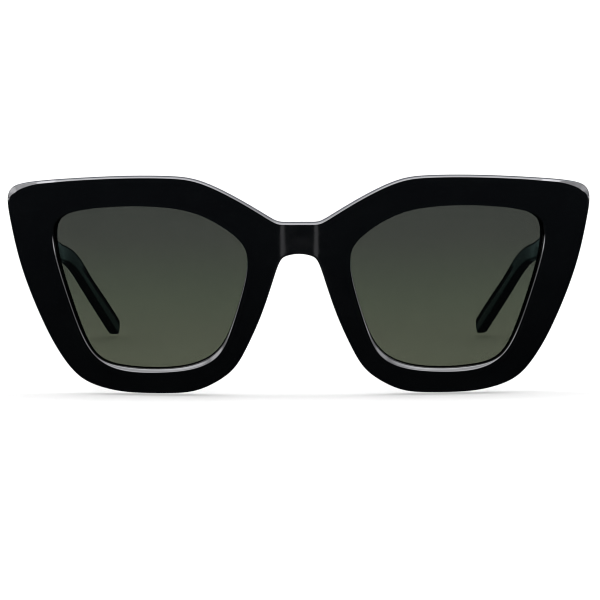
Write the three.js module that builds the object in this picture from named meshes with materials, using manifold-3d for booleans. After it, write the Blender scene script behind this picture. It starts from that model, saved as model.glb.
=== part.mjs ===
// Cat eye sunglasses: a thick acetate front with two tinted lenses, two temples
// that fold on five-barrel hinges, and the metal pieces inside.
// Millimetres, +Z up. The front faces -Y and the temples run to +Y. The open
// glasses stand on the rim bottoms and the temple tips, at z = 0.
// Left and right are the wearer's: the left half is at +X.
import * as THREE from 'three';
import { mergeVertices } from 'three/addons/utils/BufferGeometryUtils.js';
import Module from 'manifold-3d';

// ---------------------------------------------------------------- dimensions
const CENTRE_Y = 70.237;          // distance from the bridge face to the middle of the depth
const LIFT = -0.06;              // lowers the outlines so that the rims touch z = 0

const THICK = 5.0;               // acetate thickness of the front
const BEND_X = 4.3;              // half width of the flat middle of the bridge
const BEND_W = 1.2;              // half width of the soft bend beside it
const BEND_SLOPE = 0.05;         // slope that the bend gives the rims
const FACE_K = 0.0022059;        // horizontal curvature of the front, 1/mm
const FACE_RZ = 420;             // vertical radius of the front
const FACE_ZC = 28.66;           // height of the foremost line

const LENS_FRONT = 1.9;          // depth of the lens front below the face
const LENS_THICK = 2.0;
const LENS_BULGE = 0.7;
const GROOVE_FRONT = 1.75;
const GROOVE_BACK = 4.05;
const GROOVE_DEPTH = 0.9;
const LENS_SEAT = 0.75;          // how far the lens reaches into its groove
const LIP_CHAMFER = 0.25;
const EDGE = 0.3;                // front edge break of the outline
const CORNER_FACET = 1.15;        // extra width of the facet on the flared corners
const BACK_EDGE = 0.5;

const HINGE_X = 63.0;            // hinge axis, from the middle plane
const HINGE_Z = 40.6;
const HINGE_BACK = 1.7;          // axis behind the back face of the front
const BARREL_R = 1.35;
const BARREL_H = 7.5;
const BORE_R = 0.68;
const SCREW_R = 0.58;
const PLATE_T = 1.0;
const PLATE_H = 7.4;
const LEAF_T = 0.9;
const LEAF_H = 6.0;
const CLEAR = 0.1;
const TEMPLE_GAP = 0.3;          // between the temple's front end and the front
const TEMPLE_SLOPE = 0.16;       // fall of the temple to the back
const TEMPLE_IN_X = 64.6;        // inner face at the hinge

// Half outline of the front, as control points of a uniform cubic B-spline,
// x mirrored past both ends: from the bridge top over the brow, the flared
// corner, the rim bottom and the nose edge to the underside of the bridge.
const OUTLINE = [[0, 42.72], [3.19, 42.72], [5.24, 42.72], [7.38, 43.97], [12.49, 47.15],
  [19.69, 51.09], [26.05, 53.67], [31.69, 54.24], [40.74, 54.27], [48.77, 53.98],
  [56.32, 53.5], [64.33, 52.84], [71.55, 51.88], [73.54, 49.77], [72.33, 42.78],
  [70.65, 34.77], [68.36, 27.49], [65.35, 20.04], [61.97, 12.82], [58.16, 6.87],
  [54.23, 2.86], [48.08, 0.77], [42.13, -0.06], [32.67, 0.15], [26.15, 0.31],
  [20.46, 3.02], [15.89, 6.33], [12.76, 12.43], [9.52, 19.46], [6.83, 27.55],
  [4.98, 33.71], [3.42, 34.8], [0, 35.51]];
// Front edge of the bevel round the lens, closed, with the bevel's width.
const EYE = [[13.71, 25.98, 0.25], [16.91, 15.89, 0.45], [19.9, 9.04, 0.8], [26.09, 5.5, 1.25],
  [34.77, 4.71, 1.4], [44.16, 4.74, 1.4], [50.36, 8.0, 1.25], [54.67, 13.85, 1.1],
  [57.87, 23.6, 0.95], [61.15, 33.82, 0.85], [62.38, 41.89, 0.8], [58.84, 45.3, 0.45],
  [49.45, 46.7, 0.2], [39.96, 47.12, 0.15], [29.92, 46.55, 0.15], [22.72, 44.37, 0.15],
  [14.76, 39.22, 0.15], [12.02, 34.47, 0.18]];
// Place on the eye curve that faces each knot of the outline.
const FACING = [16.58, 16.44, 16.28, 16.05, 15.62, 14.97, 14.31, 13.67, 12.93, 12.16, 11.44,
  10.86, 10.5, 10.25, 9.93, 9.34, 8.63, 7.9, 7.18, 6.53, 5.93, 5.34, 4.66, 3.86, 3.14, 2.5,
  1.9, 1.22, 0.46, -0.28, -0.74, -0.93, -1.08, -1.42];
// Temple: y, x, z of the centre line, half thickness, half height, corner radius.
const TEMPLE = [[12.6, 66.7, 40.6, 2.1, 5.0, 0.9], [24, 66.7, 38.78, 2.1, 4.9, 0.9],
  [38, 66.7, 36.54, 2.1, 4.6, 0.9], [54, 66.7, 33.98, 2.1, 4.2, 1.0],
  [70, 66.6, 31.42, 2.05, 3.7, 1.1], [84, 66.2, 29.2, 2.0, 3.2, 1.2],
  [95, 65.65, 27.5, 1.95, 2.75, 1.25], [103, 63.8, 24.8, 1.85, 2.5, 1.3],
  [110, 61.2, 20.5, 1.8, 2.3, 1.35], [118, 58.65, 15.2, 1.8, 2.2, 1.4],
  [126.5, 56.2, 9.6, 1.8, 2.2, 1.45], [133.5, 54.3, 5.25, 1.8, 2.2, 1.5],
  [138.5, 52.9, 2.08, 1.8, 2.15, 1.5]];
const WIRE_T = 1.2, WIRE_H = 2.0, WIRE_CLEAR = 0.15;

// ---------------------------------------------------------------- curves
function weights(t) {
  const s = 1 - t;
  return [s * s * s / 6, (3 * t * t * t - 6 * t * t + 4) / 6, (-3 * t * t * t + 3 * t * t + 3 * t + 1) / 6, t * t * t / 6];
}
function slopes(t) {
  const s = 1 - t;
  return [-s * s / 2, (3 * t * t - 4 * t) / 2, (-3 * t * t + 2 * t + 1) / 2, t * t / 2];
}
function spline(u, control, w) {
  const i = Math.floor(u), f = w(u - i), out = [];
  for (let k = 0; k < 4; k++) {
    const c = control(i - 1 + k);
    for (let n = 0; n < c.length; n++) out[n] = (out[n] || 0) + f[k] * c[n];
  }
  return out;
}
const K = OUTLINE.length - 1;
function outlineControl(j) {
  let sx = 1;
  if (j < 0) { j = -j; sx = -1; }
  if (j > K) { j = 2 * K - j; sx = -1; }
  return [sx * OUTLINE[j][0], OUTLINE[j][1] + LIFT];
}
function eyeControl(j) {
  const n = EYE.length, c = EYE[((j % n) + n) % n];
  return [c[0], c[1] + LIFT, c[2]];
}
function templeControl(j) {
  const n = TEMPLE.length - 1;
  if (j < 0) return TEMPLE[0].map((v, k) => 2 * v - TEMPLE[1][k]);
  if (j > n) return TEMPLE[n].map((v, k) => 2 * v - TEMPLE[n - 1][k]);
  return TEMPLE[j];
}
function outlineAt(u) {            // point and outward normal
  const p = spline(u, outlineControl, weights), d = spline(u, outlineControl, slopes);
  const l = Math.hypot(d[0], d[1]);
  return { x: p[0], z: p[1], nx: -d[1] / l, nz: d[0] / l };
}
function eyeAt(v) {                // point, normal away from the lens, bevel width
  const p = spline(v, eyeControl, weights), d = spline(v, eyeControl, slopes);
  const l = Math.hypot(d[0], d[1]);
  return { x: p[0], z: p[1], nx: d[1] / l, nz: -d[0] / l, w: p[2] };
}
function sag(x, z) {               // y of the front face
  const a = Math.abs(x), t = Math.min(Math.max((a - (BEND_X - BEND_W)) / (2 * BEND_W), 0), 1);
  const bend = 2 * BEND_W * (t ** 3 - 0.5 * t ** 4) + Math.max(a - (BEND_X + BEND_W), 0);
  return BEND_SLOPE * bend + 0.5 * FACE_K * Math.max(a - BEND_X, 0) ** 2 + (z - FACE_ZC) ** 2 / (2 * FACE_RZ);
}
const smooth = (a, b, x) => { const t = Math.min(Math.max((x - a) / (b - a), 0), 1); return t * t * (3 - 2 * t); };
const edgeWidth = (x, z) => EDGE + CORNER_FACET * smooth(59, 69, x) * smooth(47.3, 51, z);

// ---------------------------------------------------------------- mesh helpers
const wasm = await Module();
wasm.setup();

function soup(triangles) {         // triangles: flat list of [x, y, z] corners
  const g = new THREE.BufferGeometry();
  g.setAttribute('position', new THREE.Float32BufferAttribute(triangles.flat(), 3));
  return mergeVertices(g, 1e-4);
}
function signedVolume(g) {
  const p = g.attributes.position, idx = g.index;
  const a = new THREE.Vector3(), b = new THREE.Vector3(), c = new THREE.Vector3();
  let v = 0;
  for (let i = 0; i < idx.count; i += 3) {
    a.fromBufferAttribute(p, idx.getX(i)); b.fromBufferAttribute(p, idx.getX(i + 1)); c.fromBufferAttribute(p, idx.getX(i + 2));
    v += a.dot(b.cross(c)) / 6;
  }
  return v;
}
function flip(g) {
  const i = g.index.array;
  for (let k = 0; k < i.length; k += 3) { const t = i[k]; i[k] = i[k + 1]; i[k + 1] = t; }
  return g;
}
const outward = (g) => (signedVolume(g) < 0 ? flip(g) : g);
function mirrored(g) {
  const m = g.clone();
  m.applyMatrix4(new THREE.Matrix4().makeScale(-1, 1, 1));
  return outward(m);
}
function quad(out, a, b, c, d) { out.push(a, b, c, a, c, d); }
// Closed skin over rows of points; the points of a row go round it.
function lofted(rows) {
  const t = [], n = rows[0].length;
  const centre = (r) => r.reduce((s, p) => [s[0] + p[0] / n, s[1] + p[1] / n, s[2] + p[2] / n], [0, 0, 0]);
  for (let i = 0; i + 1 < rows.length; i++)
    for (let j = 0; j < n; j++) {
      const k = (j + 1) % n;
      quad(t, rows[i][j], rows[i][k], rows[i + 1][k], rows[i + 1][j]);
    }
  const a = centre(rows[0]), last = rows[rows.length - 1], b = centre(last);
  for (let j = 0; j < n; j++) {
    const k = (j + 1) % n;
    t.push(a, rows[0][k], rows[0][j], b, last[j], last[k]);
  }
  return outward(soup(t));
}
function solid(g) {
  let m = g.clone();
  m.deleteAttribute('normal'); m.deleteAttribute('uv');
  m = outward(mergeVertices(m.index ? m : mergeVertices(m), 1e-5));
  return new wasm.Manifold(new wasm.Mesh({
    numProp: 3, vertProperties: new Float32Array(m.attributes.position.array), triVerts: new Uint32Array(m.index.array),
  }));
}
function geometry(m) {
  const mesh = m.getMesh(), g = new THREE.BufferGeometry();
  g.setAttribute('position', new THREE.Float32BufferAttribute(mesh.vertProperties, 3));
  g.setIndex(new THREE.BufferAttribute(mesh.triVerts, 1));
  return g;
}
function box(w, d, h, x, y, z, turn = null) {
  const g = new THREE.BoxGeometry(w, d, h);
  g.translate(x, y, z);
  if (turn) g.applyMatrix4(turn);
  return solid(g);
}
function post(r, h, x, y, z, n = 16) {          // upright cylinder centred at z
  const g = new THREE.CylinderGeometry(r, r, h, n);
  g.rotateX(Math.PI / 2); g.translate(x, y, z);
  return solid(g);
}
// Solid of revolution about +Y of its own frame: profile as [radius, height].
function turned(profile, n, matrix) {
  const g = new THREE.LatheGeometry(profile.map(([r, h]) => new THREE.Vector2(r, h)), n);
  g.deleteAttribute('normal'); g.deleteAttribute('uv');
  const m = outward(dropEmpty(mergeVertices(g, 1e-4)));
  m.applyMatrix4(matrix);
  return m;
}
function dropEmpty(g) {            // removes the triangles that close up on the axis
  const i = g.index.array, keep = [];
  for (let k = 0; k < i.length; k += 3)
    if (i[k] !== i[k + 1] && i[k + 1] !== i[k + 2] && i[k] !== i[k + 2]) keep.push(i[k], i[k + 1], i[k + 2]);
  g.setIndex(keep);
  return g;
}

// ---------------------------------------------------------------- front
// Stations round one rim: along the half outline, then up the middle plane.
const STATIONS = [];
for (let i = 0; i < K; i++) {
  const steps = (i >= 11 && i <= 13) ? 3 : (i < 2 ? 2 : (i % 2 ? 2 : 3));
  for (let s = 0; s < steps; s++) STATIONS.push(i + s / steps);
}
STATIONS.push(K, K + 1 / 3, K + 2 / 3);
function facing(u) {
  const i = Math.min(Math.floor(u), FACING.length - 2);
  return FACING[i] + (u - i) * (FACING[i + 1] - FACING[i]);
}
function rimStation(u) {
  const F = eyeAt(facing(u));
  const eye = (off, depth) => {    // off: outward from the lens opening
    const x = F.x + (off - F.w) * F.nx, z = F.z + (off - F.w) * F.nz;
    return [x, sag(x, z) + depth, z];
  };
  const edge = (off, depth) => {
    const at = (q) => { const P = outlineAt(q), e = off(P); return [P.x - e * P.nx, P.z - e * P.nz, P]; };
    let x, z, P;
    if (u <= K) [x, z, P] = at(u);
    else {
      const a = at(K), b = at(0), s = u - K;
      x = 0; z = a[1] + s * (b[1] - a[1]); P = a[2];
    }
    if (u === 0 || u >= K) x = 0;
    return [x, sag(x, z) + depth(P), z];
  };
  const front = edge((P) => edgeWidth(P.x, P.z), () => 0);
  const back = edge(() => BACK_EDGE, () => THICK);
  const inner = eye(F.w, 0), rear = eye(LIP_CHAMFER, THICK);
  const between = (a, b, s, depth) => {
    const x = a[0] + s * (b[0] - a[0]), z = a[2] + s * (b[2] - a[2]);
    return [x, sag(x, z) + depth, z];
  };
  return [
    inner, between(inner, front, 1 / 3, 0), between(inner, front, 2 / 3, 0), front,
    edge(() => 0, (P) => edgeWidth(P.x, P.z)), edge(() => 0, () => THICK - BACK_EDGE),
    back, between(rear, back, 0.5, THICK), rear,
    eye(0, THICK - LIP_CHAMFER), eye(0, GROOVE_BACK), eye(GROOVE_DEPTH, GROOVE_BACK),
    eye(GROOVE_DEPTH, GROOVE_FRONT), eye(0, GROOVE_FRONT), eye(0, Math.max(F.w, 0.15)),
  ];
}
function frontSolid() {
  const rims = STATIONS.map(rimStation), t = [];
  const flat = (...p) => p.every((q) => Math.abs(q[0]) < 1e-7);
  for (let i = 0; i < rims.length; i++) {
    const A = rims[i], B = rims[(i + 1) % rims.length], n = A.length;
    for (let j = 0; j < n; j++) {
      const k = (j + 1) % n;
      if (!flat(A[j], A[k], B[k], B[j])) quad(t, A[j], A[k], B[k], B[j]);
    }
  }
  const all = t.slice(), m = ([x, y, z]) => [-x, y, z];
  for (let i = 0; i < t.length; i += 3) all.push(m(t[i]), m(t[i + 2]), m(t[i + 1]));
  return solid(outward(soup(all)));
}

// ---------------------------------------------------------------- lenses
function lensGeometry() {
  const ring = STATIONS.map((u) => {
    const F = eyeAt(facing(u)), o = LENS_SEAT - F.w;
    return [F.x + o * F.nx, F.z + o * F.nz];
  });
  const cx = 37.2, cz = 26.6, t = [];
  const at = (p, s, depth) => {
    const x = cx + s * (p[0] - cx), z = cz + s * (p[1] - cz);
    return [x, sag(x, z) + depth - LENS_BULGE * (1 - s * s), z];
  };
  const scales = [0, 0.55, 1], front = LENS_FRONT, back = LENS_FRONT + LENS_THICK;
  for (let i = 0; i < ring.length; i++) {
    const a = ring[i], b = ring[(i + 1) % ring.length];
    for (const [depth, sign] of [[front, 1], [back, -1]]) {
      const tri = (p, q, r) => (sign > 0 ? t.push(p, q, r) : t.push(p, r, q));
      tri(at(a, 0, depth), at(a, scales[1], depth), at(b, scales[1], depth));
      tri(at(a, scales[1], depth), at(a, 1, depth), at(b, 1, depth));
      tri(at(a, scales[1], depth), at(b, 1, depth), at(b, scales[1], depth));
    }
    quad(t, at(a, 1, front), at(a, 1, back), at(b, 1, back), at(b, 1, front));
  }
  return outward(soup(t));
}

// ---------------------------------------------------------------- nose pads
function nosePadGeometry() {
  const rows = [], n = 9;
  for (let i = 0; i <= n; i++) {
    const s = i / n, z = 14.5 + 17 * s, nose = noseEdge(z);
    const full = Math.pow(Math.sin(Math.PI * (0.06 + 0.88 * s)), 0.7);
    const h = 4.3 * full, w = 3.9 * (0.35 + 0.65 * full), x0 = nose + 0.9 + 0.5 * (1 - full);
    const row = [[0, 0], [0.02, 0.4], [0.22, 0.82], [0.52, 1.0], [0.8, 0.86], [0.97, 0.4], [1, 0], [0.5, 0]];
    rows.push(row.map(([a, b]) => {
      const x = x0 + w * a + 0.35 * h * b;
      return [x, sag(x, z) + THICK + 0.1 + h * b, z];
    }));
  }
  return lofted(rows);
}
function noseEdge(z) {             // x of the nose edge at a height
  let lo = 24, hi = 31;
  for (let i = 0; i < 40; i++) {
    const m = (lo + hi) / 2;
    if (outlineAt(m).z < z) lo = m; else hi = m;
  }
  return outlineAt(lo).x;
}

// ---------------------------------------------------------------- hinges
const HINGE_Y = sag(HINGE_X, HINGE_Z) + THICK + HINGE_BACK;
const PLATE_X = 66.5;
const PLATE_TURN = Math.atan(BEND_SLOPE + FACE_K * (PLATE_X - BEND_X));
const PLATE_Y = sag(PLATE_X, HINGE_Z) + THICK - 0.06;
const plateFrame = new THREE.Matrix4().makeTranslation(PLATE_X, PLATE_Y, HINGE_Z)
  .multiply(new THREE.Matrix4().makeRotationZ(PLATE_TURN));
const LEAF_X = TEMPLE_IN_X + 0.06;
const LEAF_TILT = Math.atan(TEMPLE_SLOPE);
const leafFrame = new THREE.Matrix4().makeTranslation(LEAF_X, HINGE_Y, HINGE_Z)
  .multiply(new THREE.Matrix4().makeRotationX(-LEAF_TILT));
const KNUCKLE = 1.4, KNUCKLE_STEP = 1.5;
const FRONT_KNUCKLES = [-2, 0, 2], TEMPLE_KNUCKLES = [-1, 1];
const PLATE_PINS = [-2.0, 2.0];                     // heights on the front plate
const LEAF_PINS = [[4.6, 1.7], [8.8, -1.7]];        // along and up, on the temple leaf
const PIN_HEAD = 0.95, PIN_R = 0.5, PIN_CONE = 0.45, PIN_LONG = 2.7;

// Frames of the pins: +Y of each points out of the head.
function platePinFrame(h) {
  return plateFrame.clone().multiply(new THREE.Matrix4().makeTranslation(0.4, -0.03, h));
}
function leafPinFrame([s, h]) {
  return leafFrame.clone().multiply(new THREE.Matrix4().makeTranslation(0.03, s, h))
    .multiply(new THREE.Matrix4().makeRotationZ(Math.PI / 2));
}
const pinShape = (grow, long) => [[0, -long - grow], [PIN_R + grow, -long - grow], [PIN_R + grow, -PIN_CONE - grow],
  [PIN_HEAD + grow, grow > 0 ? 1.0 : 0], [0, grow > 0 ? 1.0 : 0]];
function pinHole(frame, long) {
  const cut = [[0, -long - 0.12], [PIN_R + 0.1, -long - 0.12], [PIN_R + 0.1, -PIN_CONE - 0.1], [PIN_HEAD + 0.1, 0], [PIN_HEAD + 0.1, 1], [0, 1]];
  return solid(turned(cut, 12, frame));
}
const pinGeometry = (frame, long) => turned(pinShape(0, long), 12, frame);

const PLATE_W = 6.5;
function frontHinge() {
  let m = box(PLATE_W, PLATE_T, PLATE_H, -0.15, -PLATE_T / 2, 0, plateFrame);
  for (const k of FRONT_KNUCKLES) {
    const z = HINGE_Z + k * KNUCKLE_STEP;
    m = m.add(post(BARREL_R, KNUCKLE, HINGE_X, HINGE_Y, z));
    m = m.add(box(0.9, HINGE_BACK + 0.6, KNUCKLE, 63.85, HINGE_Y - (HINGE_BACK + 0.6) / 2, z));
  }
  m = m.subtract(post(BORE_R, BARREL_H + 2, HINGE_X, HINGE_Y, HINGE_Z, 12));
  for (const h of PLATE_PINS) m = m.subtract(pinHole(platePinFrame(h), PIN_LONG));
  return m;
}
const LEAF_FROM = -0.75, LEAF_LONG = 12.2;
function templeHinge() {
  let m = box(LEAF_T, LEAF_LONG, LEAF_H, LEAF_T / 2, LEAF_FROM + LEAF_LONG / 2, 0, leafFrame);
  for (const k of TEMPLE_KNUCKLES) {
    const z = HINGE_Z + k * KNUCKLE_STEP;
    m = m.add(post(BARREL_R, KNUCKLE, HINGE_X, HINGE_Y, z));
    m = m.add(box(LEAF_X + 0.5 - HINGE_X, 1.5, KNUCKLE, (LEAF_X + 0.5 + HINGE_X) / 2, HINGE_Y + 0.05, z));
  }
  m = m.subtract(post(BORE_R, BARREL_H + 2, HINGE_X, HINGE_Y, HINGE_Z, 12));
  for (const p of LEAF_PINS) m = m.subtract(pinHole(leafPinFrame(p), 2.0));
  return m;
}
function screwGeometry() {
  const top = BARREL_H / 2 - 0.05 + CLEAR;
  const frame = new THREE.Matrix4().makeTranslation(HINGE_X, HINGE_Y, HINGE_Z)
    .multiply(new THREE.Matrix4().makeRotationX(Math.PI / 2));
  const g = turned([[0, -BARREL_H / 2 - 0.35], [SCREW_R - 0.15, -BARREL_H / 2 - 0.35], [SCREW_R, -BARREL_H / 2 - 0.2],
    [SCREW_R, top], [1.2, top], [1.2, top + 0.4], [0.95, top + 0.65], [0, top + 0.65]], 14, frame);
  const slot = box(3, 0.3, 0.5, HINGE_X, HINGE_Y, HINGE_Z + top + 0.65);
  return geometry(solid(g).subtract(slot));
}

// ---------------------------------------------------------------- temples
function templeFrame(u) {
  const p = spline(u, templeControl, weights), d = spline(u, templeControl, slopes);
  const T = new THREE.Vector3(d[1], d[0], d[2]).normalize();
  const W = new THREE.Vector3().crossVectors(T, new THREE.Vector3(0, 0, 1)).normalize();
  const H = new THREE.Vector3().crossVectors(W, T);
  return { c: new THREE.Vector3(p[1], p[0], p[2]), T, W, H, a: p[3], b: p[4], r: p[5] };
}
function section(a, b, r, arc) {   // rounded rectangle, points counter-clockwise
  const out = [];
  for (const [sx, sy, from] of [[1, 1, 0], [-1, 1, 1], [-1, -1, 2], [1, -1, 3]])
    for (let i = 0; i <= arc; i++) {
      const q = (from + i / arc) * Math.PI / 2;
      out.push([sx * (a - r) + r * Math.cos(q), sy * (b - r) + r * Math.sin(q)]);
    }
  return out;
}
function place(f, pts, slide = 0) {
  return pts.map(([w, h]) => f.c.clone().addScaledVector(f.W, w).addScaledVector(f.H, h).addScaledVector(f.T, slide));
}
function toEndFace(p, f) {         // slides a point along the temple onto its front end
  for (let i = 0; i < 4; i++) p.addScaledVector(f.T, (sag(p.x, p.z) + THICK + TEMPLE_GAP - p.y) / f.T.y);
  return p;
}
const NT = TEMPLE.length - 1;
function templeSolid() {
  const rows = [], f0 = templeFrame(0);
  rows.push(place(f0, section(f0.a, f0.b, f0.r, 3)).map((p) => toEndFace(p, f0)));
  const us = [0.5, 1.5, 2.5, 3.5, 4.2, 5, 5.5, 6, 6.4, 6.8, 7.2, 7.6, 8, 8.5, 9, 9.5, 10, 10.5, 11, 11.5, NT];
  for (const u of us) { const f = templeFrame(u); rows.push(place(f, section(f.a, f.b, f.r, 3))); }
  const f = templeFrame(NT), reach = 1.6;           // rounded tip
  for (const q of [0.35, 0.7, 1.05, 1.35]) {
    const s = Math.cos(q), a = f.a * (0.25 + 0.75 * s), b = f.b * (0.3 + 0.7 * s);
    rows.push(place(f, section(a, b, Math.min(f.r, a * 0.95), 3), reach * Math.sin(q)));
  }
  return solid(lofted(rows.map((r) => r.map((p) => [p.x, p.y, p.z]))));
}
function wireRows(grow, from, to, frontSlide) {
  const a = WIRE_T / 2 + grow, b = WIRE_H / 2 + grow, rows = [];
  for (let u = from; u <= to + 1e-9; u += (to - from) / 16) {
    const f = templeFrame(u);
    rows.push(place(f, [[a, b], [-a, b], [-a, -b], [a, -b]], u === from ? -frontSlide : 0).map((p) => [p.x, p.y, p.z]));
  }
  return rows;
}
const WIRE_FROM = 0.35, WIRE_TO = 11.0;
const wireGeometry = () => lofted(wireRows(0, WIRE_FROM, WIRE_TO, 0));
function temple() {
  let m = templeSolid();
  m = m.subtract(solid(lofted(wireRows(WIRE_CLEAR, WIRE_FROM, WIRE_TO + 0.12, 8))));
  m = m.subtract(box(LEAF_T + CLEAR + 2, LEAF_LONG + 4 + CLEAR, LEAF_H + 2 * CLEAR,
    (LEAF_T + CLEAR - 2) / 2, LEAF_FROM - 4 + (LEAF_LONG + 4 + CLEAR) / 2, 0, leafFrame));
  for (const p of LEAF_PINS) m = m.subtract(pinHole(leafPinFrame(p), 2.0));
  return m;
}

// ---------------------------------------------------------------- assembly
function front() {
  let m = frontSolid();
  const flipX = (g) => mirrored(geometry(g));
  const cuts = [box(PLATE_W + 2 * CLEAR, PLATE_T + CLEAR + 3, PLATE_H + 2 * CLEAR, -0.15, (3 - PLATE_T - CLEAR) / 2, 0, plateFrame)];
  for (const h of PLATE_PINS) cuts.push(pinHole(platePinFrame(h), PIN_LONG));
  for (const c of cuts) m = m.subtract(c).subtract(solid(flipX(c)));
  return geometry(m);
}

const material = (color, roughness, metalness, extra = {}) => new THREE.MeshStandardMaterial({ color, roughness, metalness, ...extra });
const glasses = new THREE.Group();
glasses.position.set(0, -CENTRE_Y, 0);
function add(name, g, mat) {
  const mesh = new THREE.Mesh(g, mat);
  mesh.name = name;
  glasses.add(mesh);
}
const BLACK = 0x0b0d0c, STEEL = 0xb9bbbd;
add('front_frame', front(), material(BLACK, 0.12, 0));

const pieces = {
  lens: [lensGeometry(), () => material(0x2c322c, 0.05, 0, { transparent: true, opacity: 0.85 })],
  nose_pad: [nosePadGeometry(), () => material(BLACK, 0.2, 0)],
  front_hinge: [geometry(frontHinge()), () => material(STEEL, 0.3, 1)],
  temple_hinge: [geometry(templeHinge()), () => material(STEEL, 0.3, 1)],
  hinge_screw: [screwGeometry(), () => material(0xc9cbcd, 0.25, 1)],
  temple: [geometry(temple()), () => material(BLACK, 0.12, 0)],
  core_wire: [wireGeometry(), () => material(0xa9adb0, 0.35, 1)],
};
PLATE_PINS.forEach((h, i) => { pieces['front_hinge_pin_' + (i ? 'upper' : 'lower')] = [pinGeometry(platePinFrame(h), PIN_LONG), () => material(0xc2c4c6, 0.3, 1)]; });
LEAF_PINS.forEach((p, i) => { pieces['temple_hinge_pin_' + (i ? 'rear' : 'fore')] = [pinGeometry(leafPinFrame(p), 2.0), () => material(0xc2c4c6, 0.3, 1)]; });
for (const [name, [g, mat]] of Object.entries(pieces)) {
  add(name + '_left', g, mat());
  add(name + '_right', mirrored(g), mat());
}

export default glasses;
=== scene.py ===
import bpy, bmesh, math
import numpy as np
from mathutils import Euler, Matrix, Vector


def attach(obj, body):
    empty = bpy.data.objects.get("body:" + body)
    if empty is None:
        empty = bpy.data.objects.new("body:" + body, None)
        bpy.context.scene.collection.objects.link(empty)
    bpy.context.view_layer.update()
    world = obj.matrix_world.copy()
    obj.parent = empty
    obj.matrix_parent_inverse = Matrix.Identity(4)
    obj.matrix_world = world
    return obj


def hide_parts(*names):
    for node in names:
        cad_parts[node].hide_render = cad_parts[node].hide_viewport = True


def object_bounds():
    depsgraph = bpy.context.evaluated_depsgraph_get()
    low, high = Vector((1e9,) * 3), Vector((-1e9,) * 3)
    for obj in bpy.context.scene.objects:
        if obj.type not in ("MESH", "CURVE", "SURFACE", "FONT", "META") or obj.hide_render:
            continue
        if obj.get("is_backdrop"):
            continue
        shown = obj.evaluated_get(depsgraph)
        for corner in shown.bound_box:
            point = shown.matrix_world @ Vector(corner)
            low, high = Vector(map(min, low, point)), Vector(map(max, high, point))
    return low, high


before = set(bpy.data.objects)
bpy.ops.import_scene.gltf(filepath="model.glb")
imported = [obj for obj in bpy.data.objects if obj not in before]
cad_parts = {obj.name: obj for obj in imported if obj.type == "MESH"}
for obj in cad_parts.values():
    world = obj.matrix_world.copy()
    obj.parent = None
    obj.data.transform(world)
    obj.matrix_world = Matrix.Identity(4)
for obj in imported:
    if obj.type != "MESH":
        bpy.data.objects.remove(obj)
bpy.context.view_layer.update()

MM = 0.001

# ------------------------------------------------------------ dimensions (as in the CAD)
CENTRE_Y = 70.237
LIFT = -0.06
THICK = 5.0
BEND_X, BEND_W, BEND_SLOPE, FACE_K, FACE_RZ, FACE_ZC = 4.3, 1.2, 0.05, 0.0022059, 420.0, 28.66
LENS_FRONT, LENS_THICK, LENS_BULGE = 1.9, 2.0, 0.2
GROOVE_FRONT, GROOVE_BACK, GROOVE_DEPTH, LENS_SEAT = 1.75, 4.05, 0.9, 0.75
EDGE, CORNER_FACET = 0.3, 1.05
POLISH, FOOT = 0.15, 0.12        # outward swell of the side edges and of the rim bottoms
HINGE_X, HINGE_Z, HINGE_BACK = 63.0, 40.6, 1.7
BARREL_R, BARREL_H, BORE_R, SCREW_R = 1.35, 7.5, 0.68, 0.58
PLATE_T, PLATE_H, PLATE_W, LEAF_T, LEAF_H, CLEAR = 1.0, 7.4, 6.5, 0.9, 6.0, 0.1
TEMPLE_GAP, TEMPLE_SLOPE, TEMPLE_IN_X = 0.3, 0.16, 64.6

OUTLINE = [(0, 42.79), (3.19, 42.79), (5.26, 42.82), (7.44, 44.09), (12.57, 47.25),
    (19.78, 51.2), (26.12, 53.75), (31.75, 54.27), (40.75, 54.3), (48.75, 54.02),
    (56.27, 53.57), (64.27, 52.98), (71.52, 52.02), (73.54, 49.94), (72.34, 42.95),
    (70.66, 34.9), (68.38, 27.56), (65.37, 20.07), (61.99, 12.83), (58.18, 6.89),
    (54.25, 2.92), (48.11, 0.87), (42.17, 0), (32.76, 0.03), (26.26, 0.29), (20.52, 3.05),
    (15.92, 6.34), (12.78, 12.44), (9.56, 19.47), (6.88, 27.56), (5.01, 33.7),
    (3.44, 34.76), (0, 35.44)]
# x, z, whole width of the bevel, width of its 45 degree facet
EYE = [(13.78, 25.97, 0.18, 0.09), (16.89, 15.94, 0.10, 0.02), (19.65, 8.80, 1.19, 1.08), (26.25, 5.66, 1.03, 1.01),
    (34.85, 4.92, 0.82, 0.78), (44.13, 4.96, 1.28, 1.26), (50.80, 7.64, 0.19, 0.06), (54.78, 13.94, 0.78, 0.27),
    (58.01, 23.57, 0.70, 0.17), (61.36, 33.78, 0.92, 0.37), (62.45, 41.84, 1.25, 0.14), (58.94, 45.22, 0.10, 0.02),
    (49.52, 46.62, 0.16, 0.02), (40.02, 47.04, 0.15, 0.02), (29.98, 46.47, 0.10, 0.02), (22.78, 44.30, 0.10, 0.02),
    (14.81, 39.17, 0.10, 0.02), (12.06, 34.45, 0.10, 0.02)]
FACING = [16.58, 16.44, 16.28, 16.05, 15.62, 14.97, 14.31, 13.67, 12.93, 12.16, 11.44,
    10.86, 10.5, 10.25, 9.93, 9.34, 8.63, 7.9, 7.18, 6.53, 5.93, 5.34, 4.66, 3.86, 3.14, 2.5,
    1.9, 1.22, 0.46, -0.28, -0.74, -0.93, -1.08, -1.42]
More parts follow.
